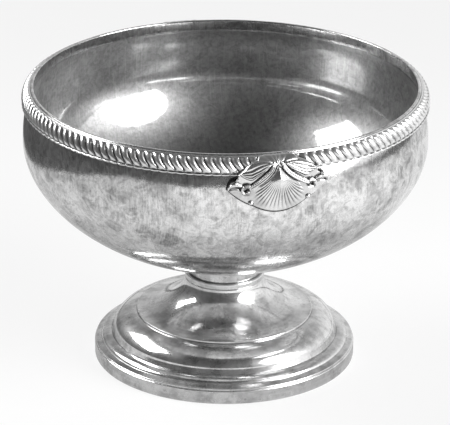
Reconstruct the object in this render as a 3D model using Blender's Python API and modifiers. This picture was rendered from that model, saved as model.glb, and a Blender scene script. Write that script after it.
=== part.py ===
"""Waste bowl of a tea service: a spun bowl with an applied rope border and two shell mounts, on a
turned collar and a spun, stepped foot. Metres, +Z up, origin on the table under the bowl's axis. The
shells stand at -Y (front) and +Y (rear)."""

import math

import bmesh
import bpy
from mathutils import Matrix, Vector

MM = 0.001

# Clearance between soldered neighbours.
GAP = 0.3 * MM

# Base band and foot, from the table up. Widths are radial, rises are vertical.
BAND_RADIUS = 41.4 * MM
BAND_THICKNESS = 1.7 * MM
BAND_HEIGHT = 4.35 * MM
BAND_ROUNDING = 0.4 * MM
FOOT_SHEET = 1.0 * MM
FLANGE_INSET = 0.3 * MM
FLANGE_EDGE = 0.3 * MM
LEDGE_WIDTH = 1.9 * MM
LEDGE_RISE = 0.65 * MM
OVOLO_WIDTH = 3.3 * MM
OVOLO_RISE = 1.7 * MM
FILLET_WIDTH = 0.5 * MM
FILLET_RISE = 1.75 * MM
DOME_WIDTH = 7.5 * MM
DOME_RISE = 5.3 * MM
DOME_FULLNESS = 1.65
STEP_WIDTH = 0.4 * MM
STEP_RISE = 0.65 * MM
TRUMPET_RISE = 10.7 * MM
TRUMPET_FULLNESS = 1.75
NECK_RADIUS = 12.6 * MM

# Collar between the foot's neck and the bowl's underside.
COLLAR_RADIUS = 12.6 * MM
COLLAR_BAND_HEIGHT = 1.55 * MM
COLLAR_BAND_ROUNDING = 0.35 * MM
COLLAR_WAIST_INSET = 1.1 * MM
COLLAR_BORE_RADIUS = 8.6 * MM
COLLAR_HEIGHT = 6.75 * MM

# Bowl: below the belly a superellipse, above it a wall that turns in to a straight lip.
BELLY_RADIUS = 63.25 * MM
BELLY_DEPTH = 39.6 * MM
BOWL_FULLNESS = 1.836
BOWL_SHEET = 1.1 * MM
SHOULDER_RISE = 15.25 * MM
SHOULDER_TURN = 2.5
LIP_INSET = 2.5 * MM
LIP_HEIGHT = 2.6 * MM

# Rope border round the lip: widest near its foot, with a face that slopes in towards the lip.
BORDER_DEPTH = 2.45 * MM
BORDER_HEIGHT = 5.1 * MM
BORDER_PROUD = 0.1 * MM
BORDER_WIDEST = 1.6 * MM
BORDER_FACE_FULLNESS = 1.7
BORDER_FOOT_FULLNESS = 3.0
LOBE_PITCH = 2.7 * MM
LOBE_DEPTH = 0.75 * MM
LOBE_LEAN = 1.9 * MM
LEAN_RUN = 3

# Shell mounts. U runs along the rim, V up from the border's middle, W outwards from the rim.
SHELL_RIM_HALF = 11.0 * MM
SHELL_TOP = 2.4 * MM
SHELL_DROP = 13.5 * MM
EAR_REACH = 15.4 * MM
EAR_DROP = 6.2 * MM
EAR_HALF_WIDTH = 1.7 * MM
EAR_RELIEF = 0.9 * MM
EAR_POINT = 0.6
GROUND_RELIEF = 0.8 * MM
FAN_TOP = 1.6 * MM
FAN_NECK = 1.5 * MM
FAN_RIBS = 9
FAN_HALF_ANGLE = math.radians(33)
FAN_SIDE_SHORTENING = 0.6 * MM
FAN_CROWN = 1.6 * MM
FAN_CROWN_SHIFT = 0.7
FAN_EDGE_RELIEF = 1.0 * MM
RIB_RELIEF = 0.4 * MM
RIB_SCALLOP = 0.4 * MM
ARM_THICKNESS = 1.6 * MM
ARM_RELIEF = 1.2 * MM
ARM_TAPER = 0.4
ARM_SAG = 0.42
VOLUTE_U = 9.6 * MM
VOLUTE_DROP = 6.2 * MM
VOLUTE_RADIUS = 1.7 * MM
VOLUTE_EYE = 0.5 * MM
VOLUTE_TURNS = 1.25
LEAF_FLUTES = 3
LEAF_HALF_WIDTH = 1.6 * MM
LEAF_RELIEF = 0.9 * MM
LEAF_TIP_SHARE = 0.45
LEAF_BEND = 1.5
FLUTE_RELIEF = 0.4 * MM
BERRY_RADIUS = 0.9 * MM
LAYER_STEP = 0.5 * MM

# Polish that the plate has kept, as shader roughness, and its grey.
BOWL_ROUGHNESS = 0.22
FOOT_ROUGHNESS = 0.2
BAND_ROUGHNESS = 0.28
COLLAR_ROUGHNESS = 0.25
BORDER_ROUGHNESS = 0.26
SHELL_ROUGHNESS = 0.28
PLATE_GREY = 0.72

# Facets, as steps or as (columns, rows), and the tolerance within which points are joined.
BOWL_SEGMENTS = 56
FOOT_SEGMENTS = 48
COLLAR_SEGMENTS = 32
ARC_STEPS = 4
INNER_ARC_STEPS = 2
EDGE_STEPS = 2
BELLY_STEPS = 8
SHOULDER_STEPS = 4
BORDER_STEPS = 3
GROUND_GRID = (6, 10)
FAN_GRID = (2 * FAN_RIBS, 4)
LEAF_GRID = (2 * LEAF_FLUTES, 5)
EAR_GRID = (2, 4)
ARM_STEPS = 5
SHARP_ANGLE = math.radians(35)
JOIN_DISTANCE = 0.01 * MM

# Heights and radii that follow from the sizes above.
FOOT_Z = BAND_HEIGHT + GAP
LEDGE_Z = FOOT_Z + FLANGE_EDGE + LEDGE_RISE
OVOLO_Z = LEDGE_Z + OVOLO_RISE
DOME_Z = OVOLO_Z + FILLET_RISE
STEP_Z = DOME_Z + DOME_RISE
TRUMPET_Z = STEP_Z + STEP_RISE
NECK_Z = TRUMPET_Z + TRUMPET_RISE
FLANGE_RADIUS = BAND_RADIUS - FLANGE_INSET
OVOLO_RADIUS = FLANGE_RADIUS - LEDGE_WIDTH
FILLET_RADIUS = OVOLO_RADIUS - OVOLO_WIDTH
DOME_RADIUS = FILLET_RADIUS - FILLET_WIDTH
STEP_RADIUS = DOME_RADIUS - DOME_WIDTH
TRUMPET_RADIUS = STEP_RADIUS - STEP_WIDTH
COLLAR_Z = NECK_Z + GAP
BOWL_Z = COLLAR_Z + COLLAR_HEIGHT
BELLY_Z = BOWL_Z + BELLY_DEPTH
LIP_Z = BELLY_Z + SHOULDER_RISE
LIP_RADIUS = BELLY_RADIUS - LIP_INSET
LIP_TOP_Z = LIP_Z + LIP_HEIGHT
BORDER_RADIUS = LIP_RADIUS + GAP + BORDER_DEPTH
BORDER_TOP_Z = LIP_TOP_Z + BORDER_PROUD
BORDER_FOOT_Z = BORDER_TOP_Z - BORDER_HEIGHT
BORDER_WIDEST_Z = BORDER_FOOT_Z + BORDER_WIDEST
BORDER_Z = (BORDER_TOP_Z + BORDER_FOOT_Z) / 2
FAN_LENGTH = FAN_TOP + SHELL_DROP
FRONT = -math.pi / 2
REAR = math.pi / 2


def arc(centre, width, rise, steps, fullness=2.0, start=0.0, end=math.pi / 2):
    """Points on a superellipse round centre, as (radius, height), from angle start to angle end."""
    points = []
    for step in range(steps + 1):
        angle = start + (end - start) * step / steps
        across = max(0.0, math.cos(angle)) ** (2 / fullness)
        up = max(0.0, math.sin(angle)) ** (2 / fullness)
        points.append((centre[0] + width * across, centre[1] + rise * up))
    return points


def wall_radius(z):
    """Outer radius of the bowl's wall at height z, from the belly to above the lip."""
    if z <= BELLY_Z:
        drop = min(1.0, (BELLY_Z - z) / BELLY_DEPTH)
        return BELLY_RADIUS * (1 - drop**BOWL_FULLNESS) ** (1 / BOWL_FULLNESS)
    rise = min(1.0, (z - BELLY_Z) / SHOULDER_RISE)
    return BELLY_RADIUS - LIP_INSET * rise**SHOULDER_TURN


def underside(radius):
    """Height of the bowl's outer skin at a radius below the belly."""
    share = 1 - (radius / BELLY_RADIUS) ** BOWL_FULLNESS
    return BELLY_Z - BELLY_DEPTH * share ** (1 / BOWL_FULLNESS)


def bowl_profile():
    """Outer skin of the bowl, from the lip's top down to the axis."""
    points = [(LIP_RADIUS, LIP_TOP_Z)]
    for step in range(SHOULDER_STEPS):
        z = LIP_Z - SHOULDER_RISE * step / SHOULDER_STEPS
        points.append((wall_radius(z), z))
    return points + arc((0, BELLY_Z), BELLY_RADIUS, -BELLY_DEPTH, BELLY_STEPS, BOWL_FULLNESS)


def foot_skin(steps):
    """Outer skin of the foot, from the neck down to the ledge's outer edge."""
    trumpet = arc((TRUMPET_RADIUS, NECK_Z), NECK_RADIUS - TRUMPET_RADIUS, -TRUMPET_RISE, steps + 2,
                  TRUMPET_FULLNESS)
    dome = arc((STEP_RADIUS, DOME_Z), DOME_WIDTH, DOME_RISE, steps, DOME_FULLNESS, math.pi / 2, 0)
    ovolo = arc((FILLET_RADIUS, LEDGE_Z), OVOLO_WIDTH, OVOLO_RISE, steps, 2.0, math.pi / 2, 0)
    return trumpet + [(STEP_RADIUS, TRUMPET_Z)] + dome + ovolo + [(FLANGE_RADIUS, FOOT_Z + FLANGE_EDGE)]


def foot_profile():
    """Closed section of the foot: the outer skin, the flat underside of its flange, then the same skin,
    in fewer steps, moved in and down by the sheet's thickness, back up to the neck."""
    outer = foot_skin(ARC_STEPS)
    inner = [(radius - FOOT_SHEET, z - FOOT_SHEET) for radius, z in foot_skin(INNER_ARC_STEPS)]
    inner = [(radius, z) for radius, z in inner if z > FOOT_Z]
    flange = [(FLANGE_RADIUS, FOOT_Z), (inner[-1][0], FOOT_Z)]
    neck = [(NECK_RADIUS - FOOT_SHEET, NECK_Z)]
    return outer + flange + inner[::-1] + neck


def band_profile():
    """Closed section of the base band, with its upper outer edge rounded."""
    inner_radius = BAND_RADIUS - BAND_THICKNESS
    corner = (BAND_RADIUS - BAND_ROUNDING, BAND_HEIGHT - BAND_ROUNDING)
    edge = arc(corner, BAND_ROUNDING, BAND_ROUNDING, EDGE_STEPS, 2.0, math.pi / 2, 0)
    return edge + [(BAND_RADIUS, 0), (inner_radius, 0), (inner_radius, BAND_HEIGHT)]


def collar_profile():
    """Closed section of the collar: a seat dished to the bowl, a waist, a rounded band and a bore."""
    band_top = COLLAR_Z + COLLAR_BAND_HEIGHT
    seat_z = underside(COLLAR_RADIUS) - GAP
    waist_radius = COLLAR_RADIUS - COLLAR_WAIST_INSET
    middle = (COLLAR_RADIUS + COLLAR_BORE_RADIUS) / 2
    seat = [(radius, underside(radius) - GAP) for radius in (COLLAR_BORE_RADIUS, middle)]
    waist = arc((COLLAR_RADIUS, band_top), -COLLAR_WAIST_INSET, seat_z - band_top, ARC_STEPS, 2.0,
                math.pi / 2, 0)
    corner = (COLLAR_RADIUS - COLLAR_BAND_ROUNDING, band_top - COLLAR_BAND_ROUNDING)
    band = arc(corner, COLLAR_BAND_ROUNDING, COLLAR_BAND_ROUNDING, EDGE_STEPS, 2.0, math.pi / 2, 0)
    foot = [(COLLAR_RADIUS, COLLAR_Z), (COLLAR_BORE_RADIUS, COLLAR_Z)]
    return seat + waist[:-1] + [(waist_radius, band_top)] + band + foot


def shell_seat_radius(z):
    """Radius of the ground of a shell mount: from the wall at its lower tip out to the border's widest
    line, then in along the slope of the border's face."""
    if z > BORDER_WIDEST_Z:
        rise = min(1.0, (z - BORDER_WIDEST_Z) / (BORDER_TOP_Z - BORDER_WIDEST_Z))
        across = (1 - rise**BORDER_FACE_FULLNESS) ** (1 / BORDER_FACE_FULLNESS)
        return LIP_RADIUS + GAP + BORDER_DEPTH * across
    tip_z = BORDER_Z - SHELL_DROP
    share = (z - tip_z) / (BORDER_WIDEST_Z - tip_z)
    return wall_radius(tip_z) + (BORDER_RADIUS - wall_radius(tip_z)) * share


def wrap(point):
    """A point (u, v, w) of a flat shell mount, bent round the front of the rim."""
    u, v, w = point
    z = BORDER_Z + v
    radius = shell_seat_radius(z) + w
    angle = FRONT + u / BORDER_RADIUS
    return Vector((radius * math.cos(angle), radius * math.sin(angle), z))


def ridge(share, count):
    """0 in the valleys and 1 on the crests of count ribs, for share from -1 to 1."""
    return abs(math.sin(math.pi * count * (share + 1) / 2))


def ground_outline():
    """Heights and half widths of the mount's ground: its top, the two heights between which it meets the
    border's ends, its ears, the fan's corners and its lower tip."""
    fan_side = FAN_LENGTH - FAN_SIDE_SHORTENING
    return [
        (SHELL_TOP, SHELL_RIM_HALF - 2 * BERRY_RADIUS),
        (BORDER_WIDEST_Z - BORDER_Z, SHELL_RIM_HALF),
        (BORDER_FOOT_Z - GAP - BORDER_Z, SHELL_RIM_HALF),
        (-EAR_DROP, EAR_REACH),
        (FAN_TOP - fan_side * math.cos(FAN_HALF_ANGLE), fan_side * math.sin(FAN_HALF_ANGLE)),
        (-SHELL_DROP, GROUND_RELIEF),
    ]


def ground(across, down):
    """Thin ground that carries the relief; across runs from -1 to 1 and down from 0 to 1, which is shared
    out evenly among the outline's heights."""
    outline = ground_outline()
    place = down * (len(outline) - 1)
    index = min(int(place), len(outline) - 2)
    upper, lower = Vector(outline[index]), Vector(outline[index + 1])
    v, half_width = upper.lerp(lower, place - index)
    return across * half_width, v, GROUND_RELIEF


def fan(across, down):
    """Fluted scallop fan that spreads from its narrow neck, under the arms, to the mount's lower edge."""
    length = FAN_LENGTH - FAN_SIDE_SHORTENING * across**2
    crest = ridge(across, FAN_RIBS)
    reach = FAN_NECK + (length - FAN_NECK + RIB_SCALLOP * crest) * down
    angle = FAN_HALF_ANGLE * across
    crown = FAN_EDGE_RELIEF + FAN_CROWN * math.sin(math.pi * (1 - down) ** FAN_CROWN_SHIFT) * (1 - across**2 / 2)
    return reach * math.sin(angle), FAN_TOP - reach * math.cos(angle), crown + RIB_RELIEF * crest * down


def leaf(across, along):
    """Fluted leaf from the mount's top sideways along the rim, on the +U side."""
    bend = (SHELL_TOP - LEAF_HALF_WIDTH) * (1 - along**LEAF_BEND)
    swell = LEAF_TIP_SHARE + (1 - LEAF_TIP_SHARE) * math.sin(math.pi * along)
    u = ARM_THICKNESS + (SHELL_RIM_HALF - 2 * BERRY_RADIUS - ARM_THICKNESS) * along
    crest = LEAF_RELIEF * swell + FLUTE_RELIEF * ridge(across, LEAF_FLUTES)
    return u, bend + LEAF_HALF_WIDTH * swell * across, crest


def ear(across, along):
    """Pointed leaf from a volute out to the mount's widest point, on the +U side."""
    half_width = EAR_HALF_WIDTH * (1 - along) ** EAR_POINT + GROUND_RELIEF / 2
    u = VOLUTE_U + (EAR_REACH - VOLUTE_U) * along
    v = -EAR_DROP + half_width * across
    return u, v, GROUND_RELIEF + EAR_RELIEF * (1 - abs(across)) * (1 - along / 2)


def arm_route(steps):
    """Points (u, v) of a scroll arm: down the fan's side, then round its volute, on the +U side."""
    centre = Vector((VOLUTE_U, -VOLUTE_DROP))
    start = Vector((ARM_THICKNESS / 2, FAN_TOP - ARM_THICKNESS / 2))
    entry = centre + Vector((-VOLUTE_RADIUS, VOLUTE_RADIUS / 2))
    sag = Vector((entry.x * ARM_SAG, (start.y + entry.y) / 2 - ARM_THICKNESS))
    route = []
    for step in range(steps):
        t = step / steps
        route.append(start * (1 - t) ** 2 + sag * 2 * t * (1 - t) + entry * t**2)
    for step in range(2 * steps + 1):
        t = step / (2 * steps)
        angle = math.pi + 2 * math.pi * VOLUTE_TURNS * t
        radius = VOLUTE_RADIUS + (VOLUTE_EYE - VOLUTE_RADIUS) * t
        route.append(centre + radius * Vector((math.cos(angle), math.sin(angle))))
    return route


def plated(name, roughness):
    """Neutral grey silver plate, with the polish that one piece has kept."""
    material = bpy.data.materials.new(name)
    material.use_nodes = True
    shader = material.node_tree.nodes["Principled BSDF"]
    shader.inputs["Base Color"].default_value = (PLATE_GREY, PLATE_GREY, PLATE_GREY, 1)
    shader.inputs["Metallic"].default_value = 1.0
    shader.inputs["Roughness"].default_value = roughness
    return material


def add_object(name, mesh, collection):
    obj = bpy.data.objects.new(name, mesh)
    collection.objects.link(obj)
    return obj


def finish_part(obj, roughness):
    """Smooth shading with crisp mouldings, and the part's own plate material."""
    obj.data.shade_smooth()
    obj.data.set_sharp_from_angle(angle=SHARP_ANGLE)
    obj.data.materials.append(plated(obj.name + "_plate", roughness))


def turned(name, profile, segments, collection, closed):
    """An object turned about Z from a profile of (radius, height) points."""
    shape = bmesh.new()
    verts = [shape.verts.new((radius, 0, z)) for radius, z in profile]
    ends = verts[1:] + verts[:1] if closed else verts[1:]
    for first, second in zip(verts, ends):
        shape.edges.new((first, second))
    mesh = bpy.data.meshes.new(name)
    shape.to_mesh(mesh)
    shape.free()
    obj = add_object(name, mesh, collection)
    screw = obj.modifiers.new("Turn", "SCREW")
    screw.steps = segments
    screw.render_steps = segments
    screw.use_merge_vertices = True
    screw.merge_threshold = JOIN_DISTANCE
    screw.use_smooth_shade = True
    return obj


def relief(name, grid, surface, side, layer, collection):
    """A closed slab from inside the bowl's wall out to surface(across, down), bent round the rim. Each
    layer is sunk a step deeper, so that no two backs share a face before they are cut to the bowl."""
    shape = bmesh.new()
    bmesh.ops.create_grid(shape, x_segments=grid[0], y_segments=grid[1], size=1)
    back = shape.verts[:]
    spots = {vert: surface(vert.co.x, (1 - vert.co.y) / 2) for vert in back}
    raised = bmesh.ops.extrude_face_region(shape, geom=shape.faces[:])["geom"]
    front = [vert for vert in raised if isinstance(vert, bmesh.types.BMVert)]
    flat = {vert.co.to_2d().to_tuple(5): spots[vert] for vert in back}
    for vert in front:
        vert.co = Vector(flat[vert.co.to_2d().to_tuple(5)])
    for vert in back:
        u, v, _ = spots[vert]
        sunk_radius = LIP_RADIUS - LAYER_STEP * (layer + 1)
        vert.co = Vector((u, v, sunk_radius - shell_seat_radius(BORDER_Z + v)))
    for vert in shape.verts:
        u, v, w = vert.co
        vert.co = wrap((side * u, v, w))
    shape.normal_update()
    bmesh.ops.recalc_face_normals(shape, faces=shape.faces[:])
    mesh = bpy.data.meshes.new(name)
    shape.to_mesh(mesh)
    shape.free()
    return add_object(name, mesh, collection)


def scroll_arm(name, side, collection):
    """A tapering scroll arm with its volute, swept along its route and bent round the rim."""
    route = arm_route(ARM_STEPS)
    data = bpy.data.curves.new(name, "CURVE")
    data.dimensions = "3D"
    data.bevel_depth = ARM_THICKNESS / 2
    data.bevel_resolution = 1
    data.use_fill_caps = True
    spline = data.splines.new("POLY")
    spline.points.add(len(route) - 1)
    for index, (point, spot) in enumerate(zip(spline.points, route)):
        point.co = (*wrap((side * spot.x, spot.y, ARM_RELIEF)), 1)
        point.radius = 1 - ARM_TAPER * index / len(route)
    swept = add_object(name + "_path", data, collection)
    graph = bpy.context.evaluated_depsgraph_get()
    mesh = bpy.data.meshes.new_from_object(swept.evaluated_get(graph))
    bpy.data.objects.remove(swept)
    shape = bmesh.new()
    shape.from_mesh(mesh)
    bmesh.ops.remove_doubles(shape, verts=shape.verts[:], dist=JOIN_DISTANCE)
    bmesh.ops.recalc_face_normals(shape, faces=shape.faces[:])
    shape.to_mesh(mesh)
    shape.free()
    return add_object(name, mesh, collection)


def berry(name, side, collection):
    """The round bead that ends a rim leaf."""
    shape = bmesh.new()
    seat = wrap((side * (SHELL_RIM_HALF - BERRY_RADIUS), 0, BERRY_RADIUS / 2))
    bmesh.ops.create_icosphere(shape, subdivisions=2, radius=BERRY_RADIUS, matrix=Matrix.Translation(seat))
    mesh = bpy.data.meshes.new(name)
    shape.to_mesh(mesh)
    shape.free()
    return add_object(name, mesh, collection)


def add_boolean(obj, operation, other):
    """A Boolean of obj with another object, or with all the objects of a collection."""
    boolean = obj.modifiers.new(operation.title(), "BOOLEAN")
    boolean.operation = operation
    boolean.solver = "MANIFOLD"
    if isinstance(other, bpy.types.Collection):
        boolean.operand_type = "COLLECTION"
        boolean.collection = other
    else:
        boolean.object = other


def hide_helpers(collection):
    for helper in collection.all_objects:
        helper.hide_render = True
        helper.display_type = "WIRE"


def shell_mesh(helpers):
    """The cast shell mount at the front: ground and relief joined, and its back cut to the bowl."""
    motifs = bpy.data.collections.new("shell_motifs")
    helpers.children.link(motifs)
    plate = relief("shell_ground", GROUND_GRID, ground, 1, 0, helpers)
    relief("shell_fan", FAN_GRID, fan, 1, 1, motifs)
    for side, hand in ((-1, "left"), (1, "right")):
        relief("shell_leaf_" + hand, LEAF_GRID, leaf, side, 2, motifs)
        relief("shell_ear_" + hand, EAR_GRID, ear, side, 3, motifs)
        scroll_arm("shell_arm_" + hand, side, motifs)
        berry("shell_berry_" + hand, side, motifs)
    add_boolean(plate, "UNION", motifs)
    add_boolean(plate, "DIFFERENCE", bowl_clearance(helpers))
    hide_helpers(helpers)
    graph = bpy.context.evaluated_depsgraph_get()
    return bpy.data.meshes.new_from_object(plate.evaluated_get(graph))


def bowl_clearance(helpers):
    """Solid of revolution that fills the bowl, its wall and the gap round it."""
    above = LIP_TOP_Z + BORDER_HEIGHT
    wall = [(radius + GAP, z) for radius, z in bowl_profile()[:-1]]
    profile = [(0, above), (LIP_RADIUS + GAP, above)] + wall + [(0, BOWL_Z - GAP)]
    return turned("bowl_clearance", profile, BOWL_SEGMENTS, helpers, False)


def border_section():
    """Closed section of the border: its sloping face, its squarer foot, and its back on the wall."""
    top_root = wall_radius(BORDER_TOP_Z) + GAP
    foot_root = wall_radius(BORDER_FOOT_Z) + GAP
    face = arc((top_root, BORDER_WIDEST_Z), BORDER_DEPTH, BORDER_TOP_Z - BORDER_WIDEST_Z, BORDER_STEPS,
               BORDER_FACE_FULLNESS, math.pi / 2, 0)
    foot = arc((foot_root, BORDER_WIDEST_Z), BORDER_RADIUS - foot_root, -BORDER_WIDEST, BORDER_STEPS,
               BORDER_FOOT_FULLNESS)
    return face + foot[1:]


def border_mesh(name, middle):
    """Half of the rope border, spun from shell to shell about the angle middle, then lobed."""
    reach = math.pi / 2 - (SHELL_RIM_HALF + GAP) / BORDER_RADIUS
    lobes = round(2 * reach * BORDER_RADIUS / LOBE_PITCH)
    stations = 2 * lobes
    step = 2 * reach / stations
    start = middle - reach
    shape = bmesh.new()
    verts = []
    for radius, z in border_section():
        verts.append(shape.verts.new((radius * math.cos(start), radius * math.sin(start), z)))
    loop = [shape.edges.new(pair) for pair in zip(verts, verts[1:] + verts[:1])]
    bmesh.ops.spin(shape, geom=verts + loop, axis=(0, 0, 1), cent=(0, 0, 0), angle=2 * reach, steps=stations,
                   use_merge=False, use_duplicate=False)
    open_edges = [edge for edge in shape.edges if edge.is_boundary]
    bmesh.ops.holes_fill(shape, edges=open_edges, sides=0)
    for vert in shape.verts:
        turn = (math.atan2(vert.co.y, vert.co.x) - start + step / 2) % (2 * math.pi)
        station = int(turn / step)
        lift = (vert.co.z - BORDER_Z) / (BORDER_HEIGHT / 2)
        from_end = min(station, stations - station) / (2 * LEAN_RUN)
        lean = -LOBE_LEAN / 2 * lift * min(1.0, from_end) / BORDER_RADIUS
        radius = vert.co.to_2d().length
        proud = (radius - wall_radius(vert.co.z) - GAP) / BORDER_DEPTH
        if station % 2 == 0:
            radius -= LOBE_DEPTH * max(0.0, proud)
        angle = start + step * station + lean
        vert.co = Vector((radius * math.cos(angle), radius * math.sin(angle), vert.co.z))
    shape.normal_update()
    bmesh.ops.recalc_face_normals(shape, faces=shape.faces[:])
    mesh = bpy.data.meshes.new(name)
    shape.to_mesh(mesh)
    shape.free()
    return mesh


def main():
    for obj in list(bpy.data.objects):
        bpy.data.objects.remove(obj)
    scene = bpy.context.scene.collection
    parts = bpy.data.collections.new("waste_bowl")
    helpers = bpy.data.collections.new("cutters")
    scene.children.link(parts)
    scene.children.link(helpers)

    bowl = turned("bowl_body", bowl_profile(), BOWL_SEGMENTS, parts, False)
    sheet = bowl.modifiers.new("Sheet", "SOLIDIFY")
    sheet.thickness = BOWL_SHEET
    sheet.offset = -1
    sheet.use_even_offset = True
    finish_part(bowl, BOWL_ROUGHNESS)
    finish_part(turned("foot_shell", foot_profile(), FOOT_SEGMENTS, parts, True), FOOT_ROUGHNESS)
    finish_part(turned("foot_base_band", band_profile(), FOOT_SEGMENTS, parts, True), BAND_ROUGHNESS)
    finish_part(turned("stem_collar", collar_profile(), COLLAR_SEGMENTS, parts, True), COLLAR_ROUGHNESS)

    for name, middle in (("gadroon_border_left", math.pi), ("gadroon_border_right", 0.0)):
        finish_part(add_object(name, border_mesh(name, middle), parts), BORDER_ROUGHNESS)

    mount = shell_mesh(helpers)
    finish_part(add_object("shell_ornament_front", mount, parts), SHELL_ROUGHNESS)
    rear = add_object("shell_ornament_rear", mount.copy(), parts)
    rear.rotation_euler.z = REAR - FRONT
    rear.data.materials[0] = plated("shell_ornament_rear_plate", SHELL_ROUGHNESS)


main()
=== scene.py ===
"""Looks of the waste bowl: the spun bowl and foot, the rope border and the cast shell mounts as fine
meshes, their worn silver plate, and a small white studio. Metres, +Z up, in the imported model's frame."""

import math

import bmesh
import bpy
import numpy as np
from mathutils import Euler, Matrix, Vector


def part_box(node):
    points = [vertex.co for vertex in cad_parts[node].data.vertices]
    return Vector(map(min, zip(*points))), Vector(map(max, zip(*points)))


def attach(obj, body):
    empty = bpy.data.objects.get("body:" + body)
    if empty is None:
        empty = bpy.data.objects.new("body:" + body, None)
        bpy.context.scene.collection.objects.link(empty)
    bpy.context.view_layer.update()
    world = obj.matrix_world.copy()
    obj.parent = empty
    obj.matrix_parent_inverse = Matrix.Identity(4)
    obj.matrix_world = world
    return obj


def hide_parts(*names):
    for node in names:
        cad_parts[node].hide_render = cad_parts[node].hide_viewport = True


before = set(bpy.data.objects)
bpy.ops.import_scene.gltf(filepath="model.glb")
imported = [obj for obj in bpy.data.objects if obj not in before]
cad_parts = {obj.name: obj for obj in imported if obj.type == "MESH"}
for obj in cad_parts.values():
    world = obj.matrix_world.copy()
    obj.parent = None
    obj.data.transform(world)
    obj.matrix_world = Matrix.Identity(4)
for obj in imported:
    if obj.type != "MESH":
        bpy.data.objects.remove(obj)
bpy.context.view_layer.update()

MM = 0.001
QUARTER = math.pi / 2
FRONT = -QUARTER

# Sizes read from the frame.
BAND_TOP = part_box("foot_base_band")[1]
FOOT_LOW, FOOT_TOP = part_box("foot_shell")
COLLAR_LOW, COLLAR_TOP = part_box("stem_collar")
BOWL_LOW, BOWL_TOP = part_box("bowl_body")
BORDER_LOW, BORDER_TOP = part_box("gadroon_border_right")

# Base band and foot.
BAND_THICKNESS = 1.7 * MM
BAND_ROUNDING = 0.4 * MM
FOOT_SHEET = 1.0 * MM
FLANGE_EDGE = 0.3 * MM
LEDGE_WIDTH = 1.9 * MM
LEDGE_RISE = 0.65 * MM
OVOLO_WIDTH = 3.3 * MM
OVOLO_RISE = 1.7 * MM
FILLET_WIDTH = 0.5 * MM
FILLET_RISE = 1.75 * MM
DOME_WIDTH = 7.5 * MM
DOME_RISE = 5.3 * MM
DOME_FULLNESS = 1.65
STEP_WIDTH = 0.4 * MM
STEP_RISE = 0.65 * MM
TRUMPET_FULLNESS = 1.75
NECK_RADIUS = 12.6 * MM
EDGE_SOFTENING = 0.18 * MM
SHARP_TURN = math.radians(20)

# Collar.
COLLAR_BAND_HEIGHT = 1.55 * MM
COLLAR_BAND_ROUNDING = 0.35 * MM
COLLAR_WAIST_INSET = 1.1 * MM
COLLAR_BORE_RADIUS = 8.6 * MM

# Bowl.
BELLY_DEPTH = 39.6 * MM
BOWL_FULLNESS = 1.836
BOWL_SHEET = 1.1 * MM
SHOULDER_RISE = 15.25 * MM
SHOULDER_TURN = 2.5
LIP_INSET = 2.5 * MM
LIP_FLATNESS = 3.5

# Rope border. The wires' arcs are in degrees, and the lobe ends say how squarely the lobes stop.
LOBE_PITCH = 2.7 * MM
LOBE_DEPTH = 0.9 * MM
LOBE_FULLNESS = 0.62
LOBE_LEAN = 2.7 * MM
LOBE_TOP_END = 4
LOBE_FOOT_END = 10
LEAN_CURL = 1.6
BORDER_WIDEST = 1.6 * MM
BORDER_FACE_FULLNESS = 1.7
BORDER_FOOT_FULLNESS = 3.0
TOP_WIRE = 0.6 * MM
TOP_WIRE_ARC = (180, -20)
TOP_GROOVE = 0.3 * MM
FOOT_WIRE = 0.6 * MM
FOOT_WIRE_ARC = (70, -90)
FOOT_WIRE_LOBE = 0.25
LIP_LIFT = 0.35 * MM
BORDER_SINK = 0.05 * MM
BORDER_DROP = 0.5 * MM
BORDER_TUCK = 8.5 * MM

# Shell mounts. U runs along the rim, V up from a height a little under the border's middle.
SHELL_SINK = 0.75 * MM
SHELL_TILT = 0.045
TILT_V = -10.0 * MM
SHELL_RIM_HALF = 11.0 * MM
SHELL_TOP = 3.2 * MM
SHELL_CREST_HALF = 3.0 * MM
SHELL_SLOPE = 2.0
SHELL_DROP = 14.2 * MM
EAR_REACH = 15.9 * MM
EAR_V = -6.2 * MM
EAR_TOP_V = -2.8 * MM
EAR_HANG = 0.6 * MM
EAR_FULLNESS = 4
CORNER_U = 7.9 * MM
CORNER_V = -11.7 * MM
GROUND_RELIEF = 0.8 * MM
EDGE_ROUNDING = 0.6 * MM
SOLDER_WIDTH = 0.4 * MM
SOLDER_RELIEF = 0.06 * MM
THINNING_V = 1.6 * MM
THIN_SHARE = 0.15
MELT = 0.06 * MM

# Fan of a mount. Its ribs grow from a short way below its top and fade out beside its last ones.
FAN_TOP = 1.0 * MM
FAN_SPREAD = math.radians(45)
FAN_EDGE_RELIEF = 0.8 * MM
FAN_TURN = 1.0 * MM
FAN_CROWN = 2.4 * MM
FAN_CROWN_SHIFT = 1.9
FAN_TENT = 1.05
FAN_ROUNDING = 2.0
FAN_RIBS = 17
RIB_HALF_ANGLE = math.radians(50)
RIB_FLARE = 0.56
RIB_RELIEF = 0.2 * MM
RIB_GROWTH = 2.5
RIB_DELAY = 0.2
RIB_LIMIT = 1.1
RIB_FADE = 0.1

# Scroll arms and volutes.
ARM_THICKNESS = 1.7 * MM
ARM_RELIEF = 1.2 * MM
ARM_TAPER = 0.55
ARM_SWELL = 1.7
ARM_REED = 0.3 * MM
ARM_START_U = 1.1 * MM
ARM_SAG_U = 3.2 * MM
ARM_SAG_V = -2.2 * MM
VOLUTE_U = 9.9 * MM
VOLUTE_V = -6.1 * MM
VOLUTE_RADIUS = 1.5 * MM
VOLUTE_ENTRY = math.radians(150)
VOLUTE_END_RADIUS = 0.8 * MM
VOLUTE_TURNS = 0.8
VOLUTE_HOLLOW = 0.6 * MM
EYE_RADIUS = 0.5 * MM

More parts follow.
